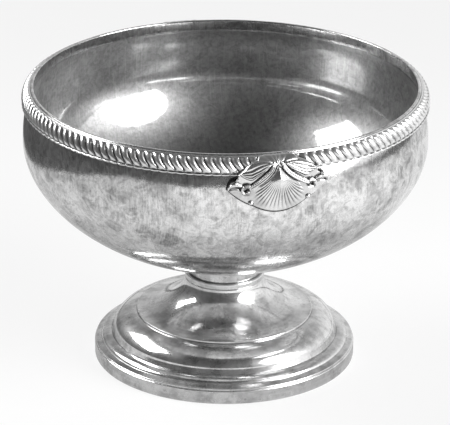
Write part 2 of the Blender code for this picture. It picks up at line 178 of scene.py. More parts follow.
# Leaves, curls and beads.
LEAF_START = 1.6 * MM
LEAF_END = 12.0 * MM
LEAF_MARGIN = 0.3 * MM
LEAF_DIP = 1.9 * MM
LEAF_TIP_V = -0.6 * MM
LEAF_LOW_V = -3.2 * MM
LEAF_LOW_U = 8.0 * MM
LEAF_SWEEP = 1.8
LEAF_RELIEF = 0.7 * MM
LEAF_FULLNESS = 0.6
LEAF_FLUTES = 4
FLUTE_RELIEF = 0.35 * MM
CROWN_SINK = 0.8 * MM
CROWN_VEINS = 7
VEIN_RELIEF = 0.3 * MM
CURL_THICKNESS = 1.6 * MM
CURL_TAPER = 0.5
CURL_RELIEF = 1.2 * MM
CREASE_DROP = 0.7
CREASE_DEPTH = 0.6 * MM
CREASE_WIDTH = 0.4 * MM
BERRY_RADIUS = 0.8 * MM
SMALL_BERRY = 0.7
DROP_RADIUS = 0.75 * MM

# Fineness of the meshes.
BOWL_SEGMENTS = 224
SHOULDER_STEPS = 12
BELLY_STEPS = 60
LIP_ROWS = 4
FOOT_SEGMENTS = 224
TRUMPET_STEPS = 24
DOME_STEPS = 16
OVOLO_STEPS = 12
COLLAR_SEGMENTS = 128
WAIST_STEPS = 10
EDGE_STEPS = 6
CORNER_STEPS = 4
LOBE_STATIONS = 10
LOBE_FACE_STEPS = 14
LOBE_FOOT_ROWS = 3
SHELL_COLUMNS = 250
SHELL_ROWS = 140
ARM_STEPS = 40
CURL_STEPS = 24
SHELL_WEAR_PASSES = 3
SKIN_SPACING = 1.1 * MM
FOOT_SPACING = 0.4 * MM
SEAT_STEP = 0.1 * MM
WELD = 0.001 * MM

# Plate of the bowl: sizes of its marks, depths of its bumps, and greys of clean and tarnished metal.
BOWL_CLOUD = 22 * MM
BOWL_STAIN = 9 * MM
BOWL_SMEAR = 5 * MM
SMEAR_TWIST = 1.6
BOWL_SPECK = 1.1 * MM
BOWL_SPECK_DEPTH = 0.006 * MM
STREAK_PATCH = 15 * MM
BOWL_RING = 0.7 * MM
BOWL_RING_DEPTH = 0.002 * MM
BOWL_WAVE = 30 * MM
BOWL_WAVE_DEPTH = 0.15 * MM
BOWL_CLEAN = 0.8
BOWL_TARNISHED = 0.24
BOWL_BLOOM = 0.34
TURNED_LOW_Z = 38.0 * MM
TURNED_TOP_Z = 45.0 * MM
TURNED_GAIN = 7

# Scratches of the bowl: their turn in degrees, width, length and amount.
STREAKS = ((0, 0, 8), 0.35 * MM, 4 * MM, 0.5)
RUBS = ((20, 35, 10), 0.3 * MM, 16 * MM, 0.36)
WIPES = ((-50, 10, 70), 0.25 * MM, 12 * MM, 0.36)
SCRATCH_EDGE = 0.06

# Plate of the foot.
FOOT_CLOUD = 13 * MM
FOOT_STAIN = 5 * MM
FOOT_SPOT = 2 * MM
FOOT_SPECK = 1.2 * MM
FOOT_SPECK_DEPTH = 0.008 * MM
FOOT_RING = 0.5 * MM
FOOT_RING_DEPTH = 0.003 * MM
FOOT_WAVE = 12 * MM
FOOT_WAVE_DEPTH = 0.06 * MM
TURNING_MARK = 1.2 * MM
TURNING_PATCH = 9 * MM
FOOT_CLEAN = 0.84
FOOT_TARNISHED = 0.2
FOOT_BLOOM = 0.4

# Plate of the border and the mounts.
RELIEF_SPECK = 0.8 * MM
RELIEF_SPECK_DEPTH = 0.01 * MM
CASTING_SKIN = 1.8 * MM
CASTING_DEPTH = 0.03 * MM
RELIEF_CLEAN = 0.84
RELIEF_TARNISHED = 0.06
RELIEF_BLOOM = 0.48
LIP_HAZE_START = 2 * MM
LIP_HAZE_FULL = 1 * MM
# Darkening along a mount's outline: a dark solder line with painted contact shadow where the mount meets the
# wall.
EDGE_DIRT_AND_SHADE = 0.4

# Camera of the 450 x 425 photograph, turned about the bowl's axis from the shell's front.
CAMERA_TURN = math.radians(14.6)
CAMERA_DISTANCE = 0.9493
CAMERA_HEIGHT = 0.4392
CAMERA_PITCH = math.radians(22.444)
CAMERA_ROLL = math.radians(0.383)
CAMERA_LENS = 260.3
CAMERA_SENSOR = 36.0

# Studio: directions are turned from the camera's side to its right, and raised from the horizon, in degrees.
# Each table edge has its turn and distance. Each zone of painted light and shade on the table that metal
# mirrors has its turn, where it starts and is full, and how much brighter it is. Each window has its turn,
# its height, the angles that it spans and its shape.
FLOOR_HALF = 2.0
FLOOR_GLOW = 0.8
PAPER_GREY = 0.9
PLAIN_LEVEL = 0.99
# The floor that the camera sees is painted darker towards the back by this much, over this distance.
PLAIN_PAINTED_FALL_OFF = 0.1
PLAIN_PAINTED_FALL_REACH = 0.35
AWAY_TURN = 180
TABLE_LEVEL = 0.95
TABLE_EDGES = ((-135, 0.2), (126, 0.5), (-54, 1.2), (36, 1.6))
TABLE_FADE = 1.06
TABLE_LIGHT_AND_SHADE_ZONES = ((55, 0.0, 0.2, 0.25), (-120, 0.0, 0.15, -0.2), (100, 0.15, 0.5, -0.5))
# Painted shadow of the bowl on the table that metal mirrors: its depth, and its reach in band radii.
UNDER_BOWL_SHADOW = 0.45
UNDER_SHADOW_REACH = 3
WINDOWS = (("window_right", 62, 23, 42, 48, "ELLIPSE"), ("window_left", -108, 40, 40, 25, "RECTANGLE"))
WINDOW_LEVEL = 8.0
WINDOW_DISTANCE = 2.0
ROOM_LEVEL = 0.11
CEILING_LEVEL = 0.03
CEILING_RISE = (0.3, 1.0)
REAR_LEVEL = 0.95
REAR_TURN = 130
REAR_SPREAD = (-0.05, 0.8)
REAR_RISE = (0.1, 1.1)

# Heights and radii that follow.
BAND_RADIUS = BAND_TOP.x
BAND_HEIGHT = BAND_TOP.z
FLANGE_RADIUS = FOOT_TOP.x
LEDGE_Z = FOOT_LOW.z + FLANGE_EDGE + LEDGE_RISE
DOME_Z = LEDGE_Z + OVOLO_RISE + FILLET_RISE
TRUMPET_Z = DOME_Z + DOME_RISE + STEP_RISE
NECK_Z = FOOT_TOP.z
OVOLO_RADIUS = FLANGE_RADIUS - LEDGE_WIDTH
FILLET_RADIUS = OVOLO_RADIUS - OVOLO_WIDTH
DOME_RADIUS = FILLET_RADIUS - FILLET_WIDTH
STEP_RADIUS = DOME_RADIUS - DOME_WIDTH
TRUMPET_RADIUS = STEP_RADIUS - STEP_WIDTH
COLLAR_RADIUS = COLLAR_TOP.x
BELLY_RADIUS = BOWL_TOP.x
BELLY_Z = BOWL_LOW.z + BELLY_DEPTH
SHOULDER_TOP_Z = BELLY_Z + SHOULDER_RISE
LIP_RADIUS = BELLY_RADIUS - LIP_INSET
LIP_TOP_Z = BOWL_TOP.z + LIP_LIFT
BORDER_RADIUS = BORDER_TOP.x
BORDER_TOP_Z = BORDER_TOP.z - BORDER_SINK
BORDER_LOW_Z = BORDER_LOW.z - BORDER_DROP
BORDER_WIDEST_Z = BORDER_LOW.z + BORDER_WIDEST
SHELL_Z = (BORDER_LOW.z + BORDER_TOP.z) / 2 - SHELL_SINK
SHELL_BACK_SINK = BOWL_SHEET / 4
FAN_LENGTH = FAN_TOP + SHELL_DROP


def arc(centre, width, rise, steps, fullness=2.0, start=0.0, end=QUARTER):
    """Points on a superellipse round centre, as (radius, height), from angle start to angle end."""
    points = []
    for step in range(steps + 1):
        angle = start + (end - start) * step / steps
        across = max(0.0, math.cos(angle)) ** (2 / fullness)
        up = max(0.0, math.sin(angle)) ** (2 / fullness)
        points.append((centre[0] + width * across, centre[1] + rise * up))
    return points


def half_round(centre, radius, start, end):
    """Points on a circle round centre, from angle start to angle end in degrees."""
    points = []
    for step in range(EDGE_STEPS + 1):
        angle = math.radians(start + (end - start) * step / EDGE_STEPS)
        points.append((centre[0] + radius * math.cos(angle), centre[1] + radius * math.sin(angle)))
    return points


def curve(start, bend, end, steps):
    """Points of a curve from start to end that is drawn towards bend."""
    points = []
    for step in range(steps + 1):
        t = step / steps
        points.append(start * (1 - t) ** 2 + bend * 2 * t * (1 - t) + end * t**2)
    return points


def soften(points):
    """The outline with every sharp corner replaced by a small curve."""
    soft = [points[0]]
    for before, corner, after in zip(points, points[1:], points[2:]):
        before, corner, after = Vector(before), Vector(corner), Vector(after)
        back, ahead = before - corner, after - corner
        if back.angle(-ahead, 0.0) < SHARP_TURN:
            soft.append(tuple(corner))
            continue
        first = corner + back.normalized() * min(EDGE_SOFTENING, back.length / 2)
        last = corner + ahead.normalized() * min(EDGE_SOFTENING, ahead.length / 2)
        soft += [tuple(point) for point in curve(first, corner, last, CORNER_STEPS)]
    return soft + [points[-1]]


def dense(points, spacing):
    """The outline with points added so that none lie further apart than spacing."""
    full = [points[0]]
    for first, last in zip(points, points[1:]):
        first, last = Vector(first), Vector(last)
        count = max(1, math.ceil((last - first).length / spacing))
        full += [tuple(first.lerp(last, (step + 1) / count)) for step in range(count)]
    return full


def inset(points, distance):
    """The outline moved sideways by distance, to the right of its run."""
    moved = []
    for index, point in enumerate(points):
        before = Vector(points[max(index - 1, 0)])
        after = Vector(points[min(index + 1, len(points) - 1)])
        run = (after - before).normalized()
        moved.append((max(0.0, point[0] + run.y * distance), point[1] - run.x * distance))
    return moved


def wall_radius(z):
    """Outer radius of the bowl's wall at height z, from its underside to the lip."""
    if z <= BELLY_Z:
        drop = min(1.0, (BELLY_Z - z) / BELLY_DEPTH)
        return BELLY_RADIUS * (1 - drop**BOWL_FULLNESS) ** (1 / BOWL_FULLNESS)
    rise = min(1.0, (z - BELLY_Z) / SHOULDER_RISE)
    return BELLY_RADIUS - LIP_INSET * rise**SHOULDER_TURN


def underside(radius):
    """Height of the bowl's outer skin at a radius below the belly."""
    share = 1 - (radius / BELLY_RADIUS) ** BOWL_FULLNESS
    return BELLY_Z - BELLY_DEPTH * share ** (1 / BOWL_FULLNESS)


def mark_wear(shape, passes=1):
    """A vertex layer that is above 0 on edges that rub bright and below 0 in hollows that stay dull."""
    shape.normal_update()
    layer = shape.verts.layers.float.new("worn")
    for vert in shape.verts:
        away = [(edge.other_vert(vert).co - vert.co).normalized() for edge in vert.link_edges]
        vert[layer] = -sum(vert.normal.dot(way) for way in away) / len(away)
    for _ in range(passes):
        worn = {}
        for vert in shape.verts:
            near = [edge.other_vert(vert)[layer] for edge in vert.link_edges]
            worn[vert] = (vert[layer] + sum(near) / len(near)) / 2
        for vert, value in worn.items():
            vert[layer] = value


def turned(outline, closed, segments, inside=0):
    """A mesh turned about Z from an outline of (radius, height) points, of which that many at its start
    are inside the piece."""
    shape = bmesh.new()
    within = shape.verts.layers.float.new("inside")
    verts = [shape.verts.new((radius, 0, z)) for radius, z in outline]
    for vert in verts[:inside]:
        vert[within] = 1.0
    ends = verts[1:] + verts[:1] if closed else verts[1:]
    edges = [shape.edges.new(pair) for pair in zip(verts, ends)]
    bmesh.ops.spin(shape, geom=verts + edges, axis=(0, 0, 1), cent=(0, 0, 0), angle=2 * math.pi,
                   steps=segments, use_merge=True, use_duplicate=False)
    bmesh.ops.remove_doubles(shape, verts=shape.verts[:], dist=WELD)
    bmesh.ops.recalc_face_normals(shape, faces=shape.faces[:])
    mark_wear(shape)
    return shape


def place_piece(name, shape, node, material):
    """Puts a finished mesh into the scene in place of a node."""
    mesh = bpy.data.meshes.new(name)
    shape.to_mesh(mesh)
    shape.free()
    mesh.shade_smooth()
    mesh.materials.append(material)
    piece = bpy.data.objects.new(name, mesh)
    bpy.context.scene.collection.objects.link(piece)
    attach(piece, "root")
    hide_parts(node)


def bowl_shape():
    """The bowl's outer skin, its rounded lip and its inner skin, one sheet apart."""
    half = BOWL_SHEET / 2
    wall = [(LIP_RADIUS, LIP_TOP_Z - half)]
    for step in range(SHOULDER_STEPS):
        z = SHOULDER_TOP_Z - SHOULDER_RISE * step / SHOULDER_STEPS
        wall.append((wall_radius(z), z))
    belly = arc((0, BELLY_Z), BELLY_RADIUS, -BELLY_DEPTH, BELLY_STEPS, BOWL_FULLNESS)
    outer = dense(wall + belly, SKIN_SPACING)
    inner = inset(outer, BOWL_SHEET)
    middle = (LIP_RADIUS - half, LIP_TOP_Z - half)
    lip = arc(middle, -half, half, EDGE_STEPS, LIP_FLATNESS)[1:]
    lip += arc(middle, half, half, EDGE_STEPS, LIP_FLATNESS, QUARTER, 0)[1:-1]
    return turned(inner[::-1] + lip + outer, False, BOWL_SEGMENTS, len(inner) - LIP_ROWS)


def foot_shape():
    """The stepped trumpet foot, seated on the base band, with softened edges."""
    flare = NECK_RADIUS - TRUMPET_RADIUS
    trumpet = arc((TRUMPET_RADIUS, NECK_Z), flare, TRUMPET_Z - NECK_Z, TRUMPET_STEPS, TRUMPET_FULLNESS)
    dome = arc((STEP_RADIUS, DOME_Z), DOME_WIDTH, DOME_RISE, DOME_STEPS, DOME_FULLNESS, QUARTER, 0)
    ovolo = arc((FILLET_RADIUS, LEDGE_Z), OVOLO_WIDTH, OVOLO_RISE, OVOLO_STEPS, 2.0, QUARTER, 0)
    skin = trumpet + [(STEP_RADIUS, TRUMPET_Z)] + dome + ovolo
    edge = [(FLANGE_RADIUS, FOOT_LOW.z + FLANGE_EDGE), (FLANGE_RADIUS, BAND_HEIGHT)]
    outer = dense(soften(skin + edge), FOOT_SPACING)
    inner = [(radius - FOOT_SHEET, z - FOOT_SHEET) for radius, z in skin[::2]]
    inner = [(radius, z) for radius, z in inner if z > BAND_HEIGHT]
    flange = [(inner[-1][0], BAND_HEIGHT)]
    neck = [(NECK_RADIUS - FOOT_SHEET, NECK_Z)]
    return turned(outer + flange + inner[::-1] + neck, True, FOOT_SEGMENTS)


def band_shape():
    """The base band, with its upper outer edge rounded and its lower edge softened."""
    inner_radius = BAND_RADIUS - BAND_THICKNESS
    corner = (BAND_RADIUS - BAND_ROUNDING, BAND_HEIGHT - BAND_ROUNDING)
    edge = arc(corner, BAND_ROUNDING, BAND_ROUNDING, EDGE_STEPS, 2.0, QUARTER, 0)
    wall = soften(edge + [(BAND_RADIUS, 0), (inner_radius, 0), (inner_radius, BAND_HEIGHT)])
    return turned(dense(wall, FOOT_SPACING), True, FOOT_SEGMENTS)


def collar_shape():
    """The collar: a seat dished to the bowl, a waist, a rounded band on the foot's neck and a bore."""
    band_top = COLLAR_LOW.z + COLLAR_BAND_HEIGHT
    waist_height = underside(COLLAR_RADIUS) - band_top
    middle = (COLLAR_RADIUS + COLLAR_BORE_RADIUS) / 2
    seat = [(radius, underside(radius)) for radius in (COLLAR_BORE_RADIUS, middle)]
    waist = arc((COLLAR_RADIUS, band_top), -COLLAR_WAIST_INSET, waist_height, WAIST_STEPS, 2.0, QUARTER, 0)
    corner = (COLLAR_RADIUS - COLLAR_BAND_ROUNDING, band_top - COLLAR_BAND_ROUNDING)
    band = arc(corner, COLLAR_BAND_ROUNDING, COLLAR_BAND_ROUNDING, EDGE_STEPS, 2.0, QUARTER, 0)
    foot = [(COLLAR_RADIUS, NECK_Z), (COLLAR_BORE_RADIUS, NECK_Z)]
    return turned(dense(seat + waist + band + foot, FOOT_SPACING), True, COLLAR_SEGMENTS)


def border_section():
    """Section of the border as (radius, height, lobe share, lean share): the wire along its top, a groove,
    the lobed face, the wire along its foot, and the back on the wall."""
    wire = TOP_WIRE / 2
    top = half_round((LIP_RADIUS + wire, BORDER_TOP_Z - wire), wire, *TOP_WIRE_ARC)
    face_root = LIP_RADIUS + TOP_WIRE
    face_rise = BORDER_TOP_Z - TOP_GROOVE - BORDER_WIDEST_Z
    face = arc((face_root, BORDER_WIDEST_Z), BORDER_RADIUS - face_root, face_rise, LOBE_FACE_STEPS,
               BORDER_FACE_FULLNESS, QUARTER, 0)
    foot_root = wall_radius(BORDER_LOW_Z)
    foot_fall = BORDER_LOW_Z + FOOT_WIRE - BORDER_WIDEST_Z
    foot = arc((foot_root, BORDER_WIDEST_Z), BORDER_RADIUS - foot_root, foot_fall, EDGE_STEPS,
               BORDER_FOOT_FULLNESS)
    lobed = face + foot[1:1 + LOBE_FOOT_ROWS]
    section = [(radius, z, 0.0, 0.0) for radius, z in top]
    for index, (radius, z) in enumerate(lobed):
        share = index / (len(lobed) - 1)
        end = LOBE_TOP_END if share < 0.5 else LOBE_FOOT_END
        section.append((radius, z, 1 - abs(2 * share - 1) ** end, share**LEAN_CURL))
    wire = FOOT_WIRE / 2
    bead = half_round((lobed[-1][0], BORDER_LOW_Z + wire), wire, *FOOT_WIRE_ARC)
    section += [(radius, z, FOOT_WIRE_LOBE, 1.0) for radius, z in bead]
    back = [(foot_root, BORDER_LOW_Z), (LIP_RADIUS, BORDER_TOP_Z - 2 * TOP_WIRE)]
    return section + [(radius, z, 0.0, 0.0) for radius, z in back]


def border_shape(middle):
    """Half of the rope border, spun from shell to shell about the angle middle, then lobed."""
    reach = QUARTER - (SHELL_RIM_HALF - BORDER_TUCK) / BORDER_RADIUS
    lobes = round(2 * reach * BORDER_RADIUS / LOBE_PITCH)
    stations = LOBE_STATIONS * lobes
    step = 2 * reach / stations
    start = middle - reach
    section = border_section()
    shape = bmesh.new()
    row = shape.verts.layers.int.new("row")
    verts = []
    for index, (radius, z, _, _) in enumerate(section):
        vert = shape.verts.new((radius * math.cos(start), radius * math.sin(start), z))
        vert[row] = index
        verts.append(vert)
    loop = [shape.edges.new(pair) for pair in zip(verts, verts[1:] + verts[:1])]
    bmesh.ops.spin(shape, geom=verts + loop, axis=(0, 0, 1), cent=(0, 0, 0), angle=2 * reach,
                   steps=stations, use_merge=False, use_duplicate=False)
    bmesh.ops.holes_fill(shape, edges=[edge for edge in shape.edges if edge.is_boundary], sides=0)
    for vert in shape.verts:
        radius, z, lobe, lean = section[vert[row]]
        turn = (math.atan2(vert.co.y, vert.co.x) - start + step / 2) % (2 * math.pi)
        station = int(turn / step)
        crest = abs(math.sin(math.pi * station / LOBE_STATIONS)) ** LOBE_FULLNESS
        sink = LOBE_DEPTH * lobe * (1 - crest)
        out = Vector((radius - LIP_RADIUS, z - BORDER_WIDEST_Z)).normalized()
        radius -= sink * out.x
        z -= sink * out.y
        angle = start + step * station + LOBE_LEAN * (lean - 0.5) / BORDER_RADIUS
        vert.co = Vector((radius * math.cos(angle), radius * math.sin(angle), z))
    shape.normal_update()
    bmesh.ops.recalc_face_normals(shape, faces=shape.faces[:])
    mark_wear(shape)
    return shape


def ridge(share, count):
    """0 in the valleys and 1 on the crests of count ribs, for share from -1 to 1."""
    return np.abs(np.sin(math.pi * count * (share + 1) / 2))


def ball(distance, radius):
    """Height of a ball of that radius at a distance from its middle, 0 outside it."""
    return np.sqrt(np.maximum(0.0, radius**2 - distance**2))


def rounded(distance, reach):
    """0 at an edge, 1 from reach inwards, along a quarter circle."""
    return np.sqrt(1 - (1 - np.clip(distance / reach, 0.0, 1.0)) ** 2)


def along_route(route, side, v):
    """Distance of each point from a route, and the share of the route that lies before its nearest point."""
    route = np.array(route)
    gaps = np.hypot(side[..., None] - route[:, 0], v[..., None] - route[:, 1])
    return gaps.min(axis=-1), gaps.argmin(axis=-1) / (len(route) - 1)


def fan_relief(side, v):
    """Scallop fan between the arms: a tent near its top, a shell with flared ribs below."""
    down = np.clip(np.hypot(side, FAN_TOP - v) / FAN_LENGTH, 0.0, 1.0)
    opening = np.exp(-(FAN_TOP - v) * math.tan(FAN_SPREAD) / FAN_TURN) + math.exp(-CORNER_U / FAN_TURN)
    half = np.maximum(-FAN_TURN * np.log(opening), WELD)
    across = np.clip(side / half, 0.0, 1.0)
    bulge = 1 - across ** (FAN_TENT + FAN_ROUNDING * down**2)
    swell = np.sin(math.pi * (1 - down) ** FAN_CROWN_SHIFT) * bulge
    flare = RIB_HALF_ANGLE * (1 - RIB_FLARE + RIB_FLARE * down)
    turn = np.arctan2(side, np.maximum(FAN_TOP - v, WELD)) / flare
    deep = np.clip(RIB_GROWTH * down - RIB_DELAY, 0.0, 1.0) * np.clip((RIB_LIMIT - turn) / RIB_FADE, 0.0, 1.0)
    rib = RIB_RELIEF * (ridge(turn, FAN_RIBS) - 1) * deep
    return np.where((side < half) & (v < FAN_TOP), FAN_EDGE_RELIEF + FAN_CROWN * swell + rib, 0.0)


def arm_route():
    """Points (u, v) of a scroll arm on the +U side: down the fan's side, then over and round its volute."""
    centre = Vector((VOLUTE_U, VOLUTE_V))
    entry = centre + VOLUTE_RADIUS * Vector((math.cos(VOLUTE_ENTRY), math.sin(VOLUTE_ENTRY)))
    route = curve(Vector((ARM_START_U, FAN_TOP)), Vector((ARM_SAG_U, ARM_SAG_V)), entry, ARM_STEPS)
    for step in range(1, ARM_STEPS + 1):
        t = step / ARM_STEPS
        angle = VOLUTE_ENTRY - 2 * math.pi * VOLUTE_TURNS * t
        radius = VOLUTE_RADIUS + (VOLUTE_END_RADIUS - VOLUTE_RADIUS) * t
        route.append(centre + radius * Vector((math.cos(angle), math.sin(angle))))
    return route


def arm_relief(side, v):
    """Scroll arm of two reeds that ends in a volute."""
    gap, share = along_route(arm_route(), side, v)
    swell = np.sin(math.pi * np.clip(ARM_SWELL * share, 0.0, 1.0))
    half = ARM_THICKNESS / 2 * (1 - ARM_TAPER * (1 - swell))
    reed = ARM_REED * np.abs(np.sin(math.pi * np.clip(gap / half, 0.0, 1.0)))
    return np.where(gap < half, ARM_RELIEF + ball(gap, half) + reed, 0.0)


def leaf_relief(side, v):
    """Fluted leaf that fills the space between the rim and an arm, and runs out to a tip."""
    along = np.clip((side - LEAF_START) / (LEAF_END - LEAF_START), 0.0, 1.0)
    top = shell_top(side) - LEAF_MARGIN - LEAF_DIP * (1 - along)
    beside_arm = FAN_TOP - (FAN_TOP - LEAF_LOW_V) * (side - LEAF_START) / (LEAF_LOW_U - LEAF_START)
    past = np.clip((side - LEAF_LOW_U) / (LEAF_END - LEAF_LOW_U), 0.0, 1.0)
    low = np.maximum(beside_arm, LEAF_LOW_V + (LEAF_TIP_V - LEAF_LOW_V) * past**LEAF_SWEEP)
    across = (top - v) / np.maximum(top - low, WELD)
    inside = (across > 0) & (across < 1) & (side > LEAF_START) & (side < LEAF_END)
    across = np.clip(across, 0.0, 1.0)
    body = LEAF_RELIEF * np.sin(math.pi * across) ** LEAF_FULLNESS
    flute = FLUTE_RELIEF * np.abs(np.sin(math.pi * LEAF_FLUTES * across))
    return np.where(inside, GROUND_RELIEF + body + flute, 0.0)


def crown_relief(side, v):
    """Fine veins that spread from the fan's top over the plain sheet below the lip."""
    turn = np.arctan2(side, v - FAN_TOP + CROWN_SINK)
    vein = np.abs(np.sin(CROWN_VEINS * turn))
    return np.where(v > FAN_TOP - CROWN_SINK, GROUND_RELIEF + VEIN_RELIEF * vein, 0.0)


def curl_route():
    """Points (u, v) of the curled leaf along the top of an ear, from the volute to the widest point."""
    start = Vector((VOLUTE_U + VOLUTE_RADIUS, VOLUTE_V + VOLUTE_RADIUS))
    bend = Vector((EAR_REACH - CURL_THICKNESS / 2, EAR_TOP_V - CURL_THICKNESS / 4))
    end = Vector((EAR_REACH - CURL_THICKNESS / 4, EAR_V))
    return curve(start, bend, end, CURL_STEPS)


def curl_relief(side, v):
    """Curled leaf along the top of an ear."""
    gap, share = along_route(curl_route(), side, v)
    half = CURL_THICKNESS / 2 * (1 - CURL_TAPER + CURL_TAPER * np.sin(math.pi * share))
    return np.where(gap < half, CURL_RELIEF + ball(gap, half), 0.0)


def bead_relief(side, v):
    """Round beads: the volute's eye, two berries at the leaf's tip and a drop beside the fan."""
    beads = [
        (VOLUTE_U - EYE_RADIUS, VOLUTE_V - EYE_RADIUS, EYE_RADIUS),
        (LEAF_END - BERRY_RADIUS, LEAF_TIP_V + BERRY_RADIUS / 2, BERRY_RADIUS),
        (LEAF_END - BERRY_RADIUS / 3, LEAF_TIP_V - BERRY_RADIUS, BERRY_RADIUS * SMALL_BERRY),
        (CORNER_U + DROP_RADIUS, CORNER_V + 2 * DROP_RADIUS, DROP_RADIUS),
    ]
    height = np.zeros_like(v)
    for bead_u, bead_v, radius in beads:
        distance = np.hypot(side - bead_u, v - bead_v)
        bead = np.where(distance < radius, GROUND_RELIEF + ball(distance, radius), 0.0)
        height = np.maximum(height, bead)
    return height


def ground_relief(side, v):
    """Plain ground of the casting, hollowed round the volute and creased below the curled leaf."""
    from_eye = np.hypot(side - VOLUTE_U, v - VOLUTE_V)
    from_crease = along_route(curl_route(), side, v + CURL_THICKNESS * CREASE_DROP)[0]
    ground = GROUND_RELIEF - VOLUTE_HOLLOW * np.exp(-((from_eye / VOLUTE_RADIUS) ** 2))
    return ground - CREASE_DEPTH * np.exp(-((from_crease / CREASE_WIDTH) ** 2))


def shell_relief(u, v):
    """Height of the cast relief above its seat, with its motifs run together as in a casting, and thinned
    towards the lip."""
    motifs = [ground_relief, fan_relief, arm_relief, leaf_relief, crown_relief, curl_relief, bead_relief]
    heights = np.stack([motif(np.abs(u), v) for motif in motifs])
    height = MELT * np.log(np.exp(heights / MELT).sum(axis=0))
    thin = np.clip((v - THINNING_V) / (SHELL_TOP - THINNING_V), 0.0, 1.0)
    return height * (1 - (1 - THIN_SHARE) * thin)


def shell_top(side):
    """Upper outline of a mount: along the lip, down over the border to the leaf's tip, round the ear."""
    fall = np.clip((side - SHELL_CREST_HALF) / (LEAF_END - SHELL_CREST_HALF), 0.0, 1.0)
    rim = SHELL_TOP + (LEAF_TIP_V - SHELL_TOP) * fall**SHELL_SLOPE
    share = np.clip((side - LEAF_END) / (EAR_REACH - LEAF_END), 0.0, 1.0)
    ear = EAR_TOP_V + (EAR_V - EAR_TOP_V) * share**EAR_FULLNESS
    past = np.clip((side - LEAF_END) / GROUND_RELIEF, 0.0, 1.0)
    return rim + (ear - rim) * past


def shell_foot(side):
    """Lower outline of a mount: the fan's arc, then up to the ear's point."""
    bow = np.clip(side / CORNER_U, 0.0, 1.0) ** 2
    arc_v = -SHELL_DROP + (CORNER_V + SHELL_DROP) * bow
    share = np.clip((side - CORNER_U) / (EAR_REACH - CORNER_U), 0.0, 1.0)
    return arc_v + (EAR_V - CORNER_V) * share - EAR_HANG * np.sin(math.pi * share)


def shell_edge(side, v):
    """Distance of a point inside a mount from its outline, apart from the stretch along the lip."""
    beside = np.where(v > EAR_TOP_V, LEAF_END + GROUND_RELIEF, EAR_REACH) - side
    crest = np.clip((side - SHELL_CREST_HALF) / SHELL_CREST_HALF, 0.0, 1.0)
    above = shell_top(side) - v + SHELL_TOP * (1 - crest)
    return np.minimum(np.minimum(v - shell_foot(side), beside), above)


def shell_seat(z):
    """Radius of the surface that a mount is cast to: from the wall at its lower tip out to the border's
    widest line, then in along the slope of the border's face."""
    tip_z = SHELL_Z - SHELL_DROP
    tip_radius = wall_radius(tip_z)
    low = tip_radius + (BORDER_RADIUS - tip_radius) * (z - tip_z) / (BORDER_WIDEST_Z - tip_z)
    rise = np.clip((z - BORDER_WIDEST_Z) / (BORDER_TOP_Z - BORDER_WIDEST_Z), 0.0, 1.0)
    across = (1 - rise**BORDER_FACE_FULLNESS) ** (1 / BORDER_FACE_FULLNESS)
    return np.where(rise > 0, LIP_RADIUS + (BORDER_RADIUS - LIP_RADIUS) * across, low)


def raise_face(u, v, z, wall, share):
    """Radius and height of a mount's face, where share says how much of its relief stands at its edge."""
    lean = np.arctan2(shell_seat(z - SEAT_STEP) - shell_seat(z + SEAT_STEP), 2 * SEAT_STEP)
    height = shell_relief(u, v)
    crest = shell_seat(z) + height * np.cos(lean)
    radius = wall + SOLDER_RELIEF + (crest - wall - SOLDER_RELIEF) * share
    return radius, np.minimum(z + height * np.sin(lean) * share, LIP_TOP_Z)


def round_rim(u, radius, z):
    """The point at u along the rim from the front, at a radius and height."""
    angle = FRONT + u / BORDER_RADIUS
    return Vector((radius * math.cos(angle), radius * math.sin(angle), z))


def shell_shape():
    """A mount at the front: a fine sheet raised to the relief, with its back on the bowl's wall."""
    shape = bmesh.new()
    bmesh.ops.create_grid(shape, x_segments=SHELL_COLUMNS, y_segments=SHELL_ROWS, size=1)
    across = shape.verts.layers.float.new("across")
    down = shape.verts.layers.float.new("down")
    dirt_and_shade = shape.verts.layers.float.new("dirt_and_shade")
    for vert in shape.verts:
        vert[across] = vert.co.x
        vert[down] = (1 - vert.co.y) / 2
    back = shape.verts[:]
    raised = bmesh.ops.extrude_face_region(shape, geom=shape.faces[:])["geom"]
    face = [vert for vert in raised if isinstance(vert, bmesh.types.BMVert)]
    for verts in (face, back):
        u = EAR_REACH * np.array([vert[across] for vert in verts])
        side = np.abs(u)
        top = shell_top(side)
        v = top + (shell_foot(side) - top) * np.array([vert[down] for vert in verts])
        z = SHELL_Z + v + SHELL_TILT * u * np.clip((SHELL_TOP - v) / SHELL_DROP, 0.0, 1.0)
        wall = np.array([wall_radius(height) for height in z])
        if verts is face:
            shares = rounded(shell_edge(side, v) - SOLDER_WIDTH, EDGE_ROUNDING)
            radius, z = raise_face(u, v, z, wall, shares)
            # The outline gets a dark solder line with painted contact shadow where the mount meets the wall.
            for vert, share in zip(verts, shares):
                vert[dirt_and_shade] = EDGE_DIRT_AND_SHADE * (1 - share)
        else:
            radius, z = wall - SHELL_BACK_SINK, np.minimum(z, LIP_TOP_Z - BOWL_SHEET)
        for vert, spot in zip(verts, zip(u - SHELL_TILT * (v - TILT_V), radius, z)):
            vert.co = round_rim(*spot)
    bmesh.ops.remove_doubles(shape, verts=shape.verts[:], dist=WELD)
    shape.normal_update()
    bmesh.ops.recalc_face_normals(shape, faces=shape.faces[:])
    mark_wear(shape, SHELL_WEAR_PASSES)
    # The dark solder line and painted contact shadow along the outline are taken off the worn layer.
    worn = shape.verts.layers.float["worn"]
    for vert in shape.verts:
        vert[worn] -= vert[dirt_and_shade]
    return shape


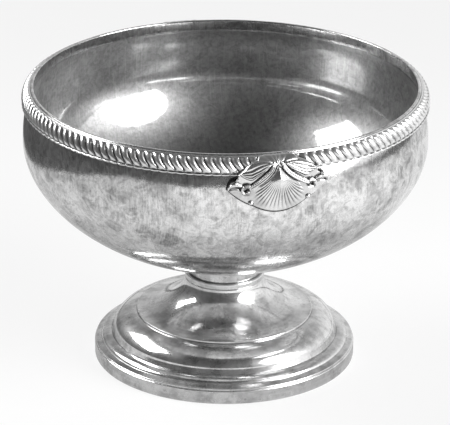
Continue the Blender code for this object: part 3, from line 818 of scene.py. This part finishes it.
class Tone:
    """A shader socket from which sums, products and other nodes are made."""

    def __init__(self, tree, socket=None):
        self.tree = tree
        self.socket = socket

    def node(self, kind, settings=None, inputs=None, output=0):
        """An output of a new node, if it has any, with its settings made first and its sockets after them."""
        made = self.tree.nodes.new("ShaderNode" + kind)
        for name, setting in (settings or {}).items():
            setattr(made, name, setting)
        for name, given in (inputs or {}).items():
            if isinstance(given, Tone):
                self.tree.links.new(given.socket, made.inputs[name])
            else:
                made.inputs[name].default_value = given
        return Tone(self.tree, made.outputs[output]) if made.outputs else None

    def math(self, operation, first, second):
        return self.node("Math", {"operation": operation}, {0: first, 1: second})

    def __add__(self, other):
        return self.math("ADD", self, other)

    def __radd__(self, other):
        return self.math("ADD", other, self)

    def __sub__(self, other):
        return self.math("SUBTRACT", self, other)

    def __rsub__(self, other):
        return self.math("SUBTRACT", other, self)

    def __mul__(self, other):
        return self.math("MULTIPLY", self, other)

    def __rmul__(self, other):
        return self.math("MULTIPLY", other, self)

    def __pow__(self, other):
        return self.math("POWER", self, other)

    def over(self, other):
        """The larger of two values."""
        return self.math("MAXIMUM", self, other)

    def between(self, low, high):
        """0 below low and 1 above high, with a smooth change."""
        return self.node("MapRange", {"interpolation_type": "SMOOTHSTEP"},
                         {"Value": self, "From Min": low, "From Max": high})

    def mix(self, first, second):
        """A colour from first, where this is 0, to second, where it is 1."""
        return self.node("Mix", {"data_type": "RGBA"}, {0: self, 6: first, 7: second}, 2)


def grey(level):
    """A neutral colour."""
    return (level, level, level, 1)


def axis(place, name):
    """One coordinate of a place: X, Y or Z."""
    return place.node("SeparateXYZ", None, {0: place}, name)


def vertex_layer(place, name):
    """The value of a mesh's vertex layer."""
    return place.node("Attribute", {"attribute_name": name}, None, "Fac")


def cloudy(place, size, detail=5, roughness=0.6, twist=0.0):
    """Cloudy noise with features of about that size in metres."""
    return place.node("TexNoise", None, {"Vector": place, "Scale": 1 / size, "Detail": detail,
                                         "Roughness": roughness, "Distortion": twist})


def scratches(place, turn, width, length, amount):
    """Fine straight scratches across one direction; turn is an Euler angle in degrees."""
    angles = [math.radians(part) for part in turn]
    along = place.node("Mapping", None, {"Vector": place, "Rotation": angles,
                                         "Scale": (1 / width, 1 / length, 1 / length)})
    lines = along.node("TexNoise", None, {"Vector": along, "Scale": 1.0, "Detail": 1.0})
    return lines.between(1 - amount, 1 - amount + SCRATCH_EDGE)


def spun_rings(place, width):
    """Fine rings left by spinning, the same all the way round the axis."""
    x, y, z = (axis(place, name) for name in "XYZ")
    radius = (x * x + y * y) ** 0.5
    ring = place.node("CombineXYZ", None, {0: radius * (1 / width), 1: z * (1 / width)})
    return ring.node("TexNoise", {"noise_dimensions": "2D"}, {"Vector": ring, "Scale": 1.0, "Detail": 3.0})


def start_material(name):
    """A new material without nodes, and its Object coordinates."""
    material = bpy.data.materials.new(name)
    material.use_nodes = True
    material.node_tree.nodes.clear()
    return material, Tone(material.node_tree).node("TexCoord", None, None, "Object")


def finish_plate(colour, roughness, haze, bloom_roughness, bumps):
    """Polished metal under a share of haze, both over a chain of (height, depth in metres) bumps."""
    normal = None
    for height, depth in bumps:
        sockets = {"Height": height, "Distance": depth, "Strength": 1.0}
        if normal is not None:
            sockets["Normal"] = normal
        normal = height.node("Bump", None, sockets)
    metal = {"Base Color": colour, "Metallic": 1.0, "Normal": normal}
    polish = colour.node("BsdfPrincipled", None, {**metal, "Roughness": roughness})
    bloom = colour.node("BsdfPrincipled", None, {**metal, "Roughness": bloom_roughness})
    surface = colour.node("MixShader", None, {0: haze, 1: polish, 2: bloom})
    surface.node("OutputMaterial", None, {"Surface": surface})


# The limits and shares in the three plates were matched to the photograph.
def bowl_plate():
    """Rubbed plate of the bowl: cloudy tarnish, smears and stains, faint spinning rings and soft waves,
    with the inside darker and hazier and the lip rubbed bright."""
    material, place = start_material("bowl_plate")
    inside = vertex_layer(place, "inside")
    edge = vertex_layer(place, "worn").between(0.05, 0.2)
    cloud = cloudy(place, BOWL_CLOUD).between(0.4, 0.7)
    stain = cloudy(place, BOWL_STAIN, 6, 0.65).between(0.4, 0.66)
    smear = cloudy(place, BOWL_SMEAR, 4, 0.6, SMEAR_TWIST).between(0.42, 0.6)
    speck = cloudy(place, BOWL_SPECK, 4, 0.75).between(0.35, 0.7)
    streak = scratches(place, *STREAKS) * cloudy(place, STREAK_PATCH, 2).between(0.4, 0.6)
    marks = scratches(place, *RUBS).over(scratches(place, *WIPES))
    low = 1 - axis(place, "Z").between(TURNED_LOW_Z, TURNED_TOP_Z)
    rings = spun_rings(place, BOWL_RING) * (1 + low * TURNED_GAIN)
    waves = cloudy(place, BOWL_WAVE, 1, 0.4)
    tarnish = cloud * 0.25 + stain * (0.4 - inside * 0.15) + smear * (0.35 - inside * 0.15) + speck * 0.3
    dull = tarnish + streak * (0.2 - inside * 0.2) - 0.17 + inside * 0.16 - edge
    colour = dull.mix(grey(BOWL_CLEAN), grey(BOWL_TARNISHED))
    roughness = 0.03 + cloud * 0.02 + speck * (0.04 - inside * 0.02)
    haze = 0.16 + cloud * 0.12 + stain * 0.14 + marks * 0.1 + inside * 0.28
    bumps = [(waves, BOWL_WAVE_DEPTH), (rings, BOWL_RING_DEPTH),
             (speck * (1 - inside * 0.6), BOWL_SPECK_DEPTH)]
    finish_plate(colour, roughness, haze, BOWL_BLOOM + inside * 0.06, bumps)
    return material


def foot_plate():
    """Plate of the foot: turning marks, stains and dark spots, tarnish in the mouldings and bright rubbed
    edges."""
    material, place = start_material("foot_plate")
    worn = vertex_layer(place, "worn")
    hollow = (worn * -1.0).between(0.01, 0.12)
    edge = worn.between(0.02, 0.1)
    cloud = cloudy(place, FOOT_CLOUD).between(0.4, 0.7)
    stain = cloudy(place, FOOT_STAIN, 6, 0.65).between(0.42, 0.64)
    spot = cloudy(place, FOOT_SPOT, 3, 0.6).between(0.64, 0.74)
    speck = cloudy(place, FOOT_SPECK, 4, 0.7)
    patch = cloudy(place, TURNING_PATCH, 3).between(0.4, 0.6)
    turning = spun_rings(place, TURNING_MARK).between(0.45, 0.65) * patch
    rings = spun_rings(place, FOOT_RING)
    waves = cloudy(place, FOOT_WAVE, 1, 0.4)
    tarnish = cloud * 0.25 + stain * 0.35 + turning * 0.15 + speck * 0.4 + spot * 0.3 - 0.18
    dull = tarnish + hollow * 0.9 - edge * 0.4
    colour = dull.mix(grey(FOOT_CLEAN), grey(FOOT_TARNISHED))
    roughness = 0.05 + cloud * 0.04 + speck * 0.05 + hollow * 0.1
    haze = 0.2 + cloud * 0.2 + hollow * 0.3
    bumps = [(waves, FOOT_WAVE_DEPTH), (rings, FOOT_RING_DEPTH), (speck, FOOT_SPECK_DEPTH)]
    finish_plate(colour, roughness, haze, FOOT_BLOOM, bumps)
    return material


def relief_plate(name, hollow_depth, cloud_size, plain_haze, lip_haze):
    """Plate over cast or rolled relief: crests rubbed bright, tarnish left in the hollows."""
    material, place = start_material(name)
    worn = vertex_layer(place, "worn")
    # On the mounts, the hollows also hold the dark solder line and painted contact shadow along their
    # outline.
    hollow = (worn * -1.0).between(0.0, hollow_depth)
    crest = worn.between(0.0, hollow_depth)
    cloud = cloudy(place, cloud_size).between(0.4, 0.7)
    speck = cloudy(place, RELIEF_SPECK, 3, 0.7)
    cast = cloudy(place, CASTING_SKIN, 2, 0.5)
    near_lip = axis(place, "Z").between(LIP_TOP_Z - LIP_HAZE_START, LIP_TOP_Z - LIP_HAZE_FULL)
    dull = cloud * 0.3 + speck * 0.3 + hollow * 0.9 - crest * 0.4
    colour = dull.mix(grey(RELIEF_CLEAN), grey(RELIEF_TARNISHED))
    roughness = 0.1 + cloud * 0.05 + speck * 0.08 + hollow * 0.2
    haze = plain_haze + cloud * 0.2 + hollow * 0.2 + near_lip * lip_haze
    bumps = [(cast, CASTING_DEPTH), (speck, RELIEF_SPECK_DEPTH)]
    finish_plate(colour, roughness, haze, RELIEF_BLOOM, bumps)
    return material


def toward(turn, raised):
    """Unit vector at degrees to the camera's right and degrees above the horizon, from the bowl."""
    angle = math.radians(turn) - CAMERA_TURN
    level = math.cos(math.radians(raised))
    return Vector((level * math.sin(angle), -level * math.cos(angle), math.sin(math.radians(raised))))


def distance_along(place, turn):
    """How far a place lies out along a level direction."""
    return place.node("VectorMath", {"operation": "DOT_PRODUCT"}, {0: place, 1: toward(turn, 0)}, "Value")


def past_table(place):
    """0 on the table and 1 past any of its edges."""
    edges = [distance_along(place, turn).between(edge, edge * TABLE_FADE) for turn, edge in TABLE_EDGES]
    past = edges[0]
    for edge in edges[1:]:
        past = past.over(edge)
    return past


def table_light_and_shade(place):
    """Brightness of the table as the metal mirrors it, with pools of painted light and shade and a painted
    shadow under the bowl.
    """
    level = TABLE_LEVEL
    # Pools of painted light and shade on the table that metal mirrors.
    for turn, start, full, change in TABLE_LIGHT_AND_SHADE_ZONES:
        level = level + distance_along(place, turn).between(start, full) * change
    # A painted shadow of the bowl on the table that metal mirrors.
    away = place.node("VectorMath", {"operation": "LENGTH"}, {0: place}, "Value")
    return level - (1 - away.between(BAND_RADIUS, UNDER_SHADOW_REACH * BAND_RADIUS)) * UNDER_BOWL_SHADOW


def floor_paper():
    """White floor with the bowl's soft shadow, painted a little darker towards the back. Metal sees it as a
    table with a painted pool of light on the right, painted shade to the left and far right and a painted
    shadow under the bowl, and the table ends behind the bowl."""
    material, place = start_material("white_table")
    camera, through, mirrored = (place.node("LightPath", None, None, f"Is {kind} Ray")
                                 for kind in ("Camera", "Transmission", "Glossy"))
    seen = camera.over(through).over(mirrored)
    past_edge = past_table(place)
    table = table_light_and_shade(place)
    mirror_level = table + past_edge * (ROOM_LEVEL - table)
    # Painted shade: the floor that the camera sees grows a little darker towards the back.
    plain_level = PLAIN_LEVEL - distance_along(place, AWAY_TURN).between(0.0, PLAIN_PAINTED_FALL_REACH) * PLAIN_PAINTED_FALL_OFF
    level = plain_level + mirrored * (mirror_level - plain_level)
    paper = seen.node("BsdfDiffuse", None, {"Color": grey(PAPER_GREY)})
    glow = seen.node("Emission", None, {"Color": level, "Strength": 1.0})
    share = seen * (mirrored * past_edge).over(FLOOR_GLOW)
    surface = seen.node("MixShader", None, {0: share, 1: paper, 2: glow})
    surface.node("OutputMaterial", None, {"Surface": surface})
    return material


def add_floor():
    """A large flat floor at the bowl's foot."""
    shape = bmesh.new()
    bmesh.ops.create_grid(shape, x_segments=1, y_segments=1, size=FLOOR_HALF)
    mesh = bpy.data.meshes.new("floor")
    shape.to_mesh(mesh)
    shape.free()
    mesh.materials.append(floor_paper())
    floor = bpy.data.objects.new("floor", mesh)
    bpy.context.scene.collection.objects.link(floor)


def add_window(name, turn, raised, wide, tall, shape):
    """A soft box that spans wide by tall degrees as the bowl sees it."""
    data = bpy.data.lights.new(name, "AREA")
    data.shape = shape
    data.size = 2 * WINDOW_DISTANCE * math.tan(math.radians(wide / 2))
    data.size_y = 2 * WINDOW_DISTANCE * math.tan(math.radians(tall / 2))
    filled = math.pi / 4 if shape == "ELLIPSE" else 1.0
    data.energy = WINDOW_LEVEL * math.pi * data.size * data.size_y * filled
    window = bpy.data.objects.new(name, data)
    bpy.context.scene.collection.objects.link(window)
    way = toward(turn, raised)
    window.location = way * WINDOW_DISTANCE + Vector((0, 0, BELLY_Z))
    window.rotation_euler = way.to_track_quat("Z", "Y").to_euler()
    window.visible_camera = False


def add_room():
    """A dim room with a darker ceiling, and a pale wall behind the bowl."""
    world = bpy.data.worlds.new("studio")
    bpy.context.scene.world = world
    world.use_nodes = True
    tree = world.node_tree
    way = Tone(tree).node("TexCoord", None, None, "Generated")
    up = axis(way, "Z")
    ceiling = up.between(*CEILING_RISE)
    wall = distance_along(way, REAR_TURN).between(*REAR_SPREAD) * (1 - up.between(*REAR_RISE))
    level = ROOM_LEVEL + ceiling * (CEILING_LEVEL - ROOM_LEVEL) + wall * (REAR_LEVEL - ROOM_LEVEL)
    tree.links.new(level.socket, tree.nodes["Background"].inputs["Color"])


def add_camera():
    """The photograph's camera."""
    data = bpy.data.cameras.new("camera")
    data.lens = CAMERA_LENS
    data.sensor_width = CAMERA_SENSOR
    camera = bpy.data.objects.new("camera", data)
    bpy.context.scene.collection.objects.link(camera)
    back_x = -CAMERA_DISTANCE * math.sin(CAMERA_TURN)
    back_y = -CAMERA_DISTANCE * math.cos(CAMERA_TURN)
    stand = Matrix.Translation((back_x, back_y, CAMERA_HEIGHT))
    aim = Euler((QUARTER - CAMERA_PITCH, 0, -CAMERA_TURN)).to_matrix()
    roll = Matrix.Rotation(CAMERA_ROLL, 3, "Z")
    camera.matrix_world = stand @ (aim @ roll).to_4x4()
    bpy.context.scene.camera = camera


bowl_metal = bowl_plate()
foot_metal = foot_plate()
border_metal = relief_plate("border_plate", hollow_depth=0.2, cloud_size=9 * MM, plain_haze=0.3, lip_haze=0.0)
shell_metal = relief_plate("shell_plate", hollow_depth=0.14, cloud_size=6 * MM, plain_haze=0.2, lip_haze=0.25)

place_piece("spun_bowl", bowl_shape(), "bowl_body", bowl_metal)
place_piece("stepped_foot", foot_shape(), "foot_shell", foot_metal)
place_piece("base_band", band_shape(), "foot_base_band", foot_metal)
place_piece("turned_collar", collar_shape(), "stem_collar", foot_metal)
place_piece("rope_border_left", border_shape(math.pi), "gadroon_border_left", border_metal)
place_piece("rope_border_right", border_shape(0.0), "gadroon_border_right", border_metal)
place_piece("shell_mount_front", shell_shape(), "shell_ornament_front", shell_metal)
rear_mount = shell_shape()
half_turn = Matrix.Rotation(math.pi, 3, "Z")
bmesh.ops.rotate(rear_mount, verts=rear_mount.verts[:], matrix=half_turn, cent=(0, 0, 0))
place_piece("shell_mount_rear", rear_mount, "shell_ornament_rear", shell_metal)

add_floor()
for window in WINDOWS:
    add_window(*window)
add_room()
add_camera()
bpy.context.scene.view_settings.view_transform = "Standard"
